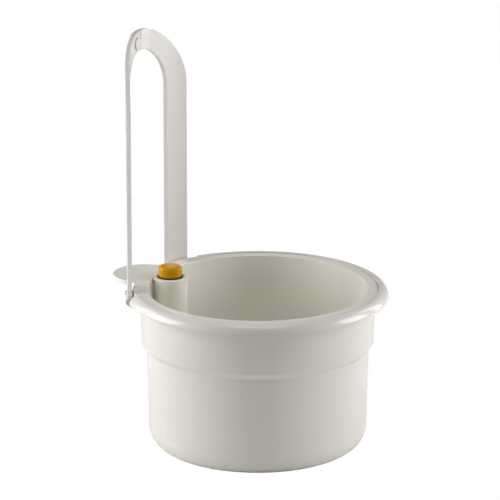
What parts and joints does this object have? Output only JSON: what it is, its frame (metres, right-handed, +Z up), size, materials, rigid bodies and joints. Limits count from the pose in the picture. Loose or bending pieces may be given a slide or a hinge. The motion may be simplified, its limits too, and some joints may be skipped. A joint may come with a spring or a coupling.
{
  "type": "hanging plant pot",
  "caption": "Round stepped pot with a lift-out liner, a float level gauge beside a round tab, and a tall hanging loop of two hinged arms that clasp at the crest.",
  "frame": {"origin": "centre of the flat base, on the pot's axis", "axes": "+Z up along the pot's axis; -X towards the tab, the gauge and the loop; the loop's arms stand either side of it in Y"},
  "size_m": [0.2192, 0.2, 0.3172],
  "materials": {
    "pot": "glossy moulded cream white",
    "liner": "satin to glossy moulded cream white",
    "arm": "glossy moulded cream white",
    "gauge_cap": "glossy amber",
    "collar": "matte dark brown",
    "strainer": "matte grey",
    "gauge_stem": "matte white",
    "gauge_float": "matte white foam",
    "hinge_pin": "drawn steel",
    "hinge_washer": "matte dark grey",
    "stud": "glossy moulded cream white"
  },
  "bodies": {
    "pot": {"outer_pot": "pot", "hinge_pin_left": "hinge_pin", "hinge_pin_right": "hinge_pin", "hinge_washers_left": "hinge_washer", "hinge_washers_right": "hinge_washer"},
    "liner": {"liner": "liner", "shaft_collar": "collar", "shaft_strainer": "strainer"},
    "gauge": {"gauge_cap": "gauge_cap", "gauge_stem": "gauge_stem", "gauge_float": "gauge_float"},
    "arm_left": {"arm_left": "arm", "crest_stud": "stud", "crest_retainer": "stud"},
    "arm_right": {"arm_right": "arm"}
  },
  "joints": [
    {"name": "liner_lift", "type": "slide", "parent": "pot", "child": "liner", "axis": [0, 0, 1], "range_m": [0, 0.125]},
    {"name": "gauge_rise", "type": "slide", "parent": "liner", "child": "gauge", "axis": [0, 0, 1], "range_m": [0, 0.022]},
    {"name": "arm_left_fold", "type": "hinge", "parent": "pot", "child": "arm_left", "pos_m": [-0.08815, -0.04305, 0.1186], "axis": [0.4388, -0.8986, 0], "range_deg": [0, 100]},
    {"name": "arm_right_fold", "type": "hinge", "parent": "pot", "child": "arm_right", "pos_m": [-0.08815, 0.04305, 0.1186], "axis": [-0.4388, -0.8986, 0], "range_deg": [0, 100]}
  ],
  "couplings": [
    {"joint": "arm_right_fold", "follows": "arm_left_fold", "ratio": 1}
  ]
}
